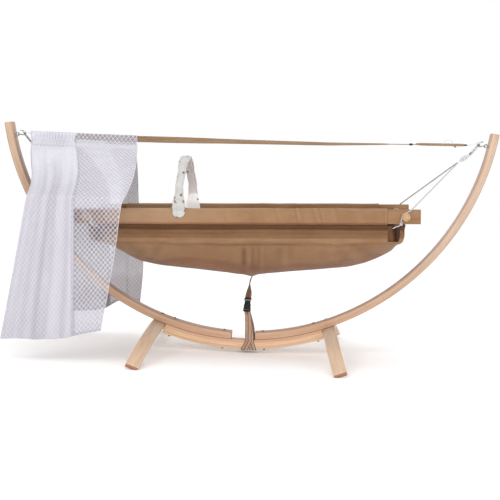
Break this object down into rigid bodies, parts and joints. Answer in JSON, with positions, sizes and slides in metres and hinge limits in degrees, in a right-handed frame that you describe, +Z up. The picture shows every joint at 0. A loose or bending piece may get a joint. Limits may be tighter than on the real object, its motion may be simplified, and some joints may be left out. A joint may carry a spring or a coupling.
{
  "type": "baby hammock with stand",
  "caption": "Canvas baby hammock bed on two wooden bars, rope-hung inside a bent laminated crescent stand, with ridge strap, insect net, padded play arch and buckled swing tether.",
  "frame": {"origin": "centre of the footprint on the floor plane, under the middle of the bottom beam", "axes": "+X along the stand's length toward the end without the net, +Y away from the pictured side, +Z up"},
  "size_m": [1.9806, 0.88, 0.9119],
  "materials": {
    "beech": "clear-lacquered laminated beech",
    "honey_wood": "honey-coloured lacquer",
    "knob_wood": "waxed turned wood",
    "canvas": "undyed heavy cotton canvas",
    "webbing": "woven cotton webbing",
    "zinc": "zinc plated",
    "net": "white diamond mesh",
    "cotton": "printed white cotton",
    "rope": "braided cord",
    "black_plastic": "moulded black plastic"
  },
  "bodies": {
    "stand": {"bottom_beam": "beech", "left_arm": "beech", "right_arm": "beech", "left_cross_foot": "beech", "right_cross_foot": "beech", "bolt_1": "zinc", "bolt_2": "zinc", "bolt_3": "zinc", "bolt_4": "zinc", "bolt_5": "zinc", "bolt_6": "zinc", "nut_1": "zinc", "nut_2": "zinc", "nut_3": "zinc", "nut_4": "zinc", "nut_5": "zinc", "nut_6": "zinc", "left_screw_eye": "zinc", "right_screw_eye": "zinc", "left_hook": "zinc", "right_hook": "zinc", "ridge_strap": "webbing", "ridge_strap_return": "webbing", "left_strap_loop": "rope", "right_strap_loop": "rope", "tether_beam_wrap": "webbing"},
    "bed": {"near_side_bar": "honey_wood", "far_side_bar": "honey_wood", "left_spreader_rod": "honey_wood", "right_spreader_rod": "honey_wood", "near_left_knob": "knob_wood", "near_right_knob": "knob_wood", "far_left_knob": "knob_wood", "far_right_knob": "knob_wood", "near_side_sleeve": "canvas", "far_side_sleeve": "canvas", "left_end_sleeve": "canvas", "right_end_sleeve": "canvas", "bed_tub": "canvas", "near_side_panel": "canvas", "far_side_panel": "canvas", "near_left_rope": "rope", "near_right_rope": "rope", "far_left_rope": "rope", "far_right_rope": "rope", "left_rope_knot": "rope", "right_rope_knot": "rope", "left_carabiner": "zinc", "right_carabiner": "zinc", "near_arch_tab": "cotton", "far_arch_tab": "cotton"},
    "tether": {"tether_lower_loop": "webbing", "buckle_female": "black_plastic", "tether_bed_strap": "webbing"},
    "male_half": {"buckle_male": "black_plastic"},
    "net": {"mosquito_net": "net"},
    "left_gate": {"left_carabiner_gate": "zinc"},
    "right_gate": {"right_carabiner_gate": "zinc"},
    "arch": {"play_arch": "cotton"},
    "slider": {"strap_slider": "black_plastic"}
  },
  "joints": [
    {"name": "bed_swing", "type": "hinge", "parent": "stand", "child": "bed", "pos_m": [0, 0, 0.8673], "axis": [1, 0, 0], "range_deg": [-8, 8]},
    {"name": "tether_follow", "type": "hinge", "parent": "stand", "child": "tether", "pos_m": [0.02, 0, 0.056], "axis": [1, 0, 0], "range_deg": [-16.5, 16.5]},
    {"name": "buckle_release", "type": "slide", "parent": "tether", "child": "male_half", "axis": [0, 0, 1], "range_m": [0, 0.025], "deforming": ["tether_bed_strap"]},
    {"name": "net_slide", "type": "slide", "parent": "stand", "child": "net", "axis": [1, 0, 0], "range_m": [0, 0.14]},
    {"name": "left_gate_hinge", "type": "hinge", "parent": "bed", "child": "left_gate", "pos_m": [-0.88879, -0.00674, 0.84067], "axis": [-0.6806, -0.4384, -0.5871], "range_deg": [0, 20], "stiffness_Nm_per_rad": 0.02, "springref_deg": -20.05},
    {"name": "right_gate_hinge", "type": "hinge", "parent": "bed", "child": "right_gate", "pos_m": [0.88879, -0.00674, 0.84067], "axis": [-0.6806, 0.4384, 0.5871], "range_deg": [0, 20], "stiffness_Nm_per_rad": 0.02, "springref_deg": -20.05},
    {"name": "arch_fold", "type": "hinge", "parent": "bed", "child": "arch", "pos_m": [-0.2465, 0, 0.61865], "axis": [0, 1, 0], "range_deg": [0, 65]},
    {"name": "slider_slide", "type": "slide", "parent": "stand", "child": "slider", "axis": [1, 0, 0], "range_m": [-0.06, 0]}
  ],
  "couplings": [
    {"joint": "tether_follow", "follows": "bed_swing", "ratio": -2.05}
  ]
}
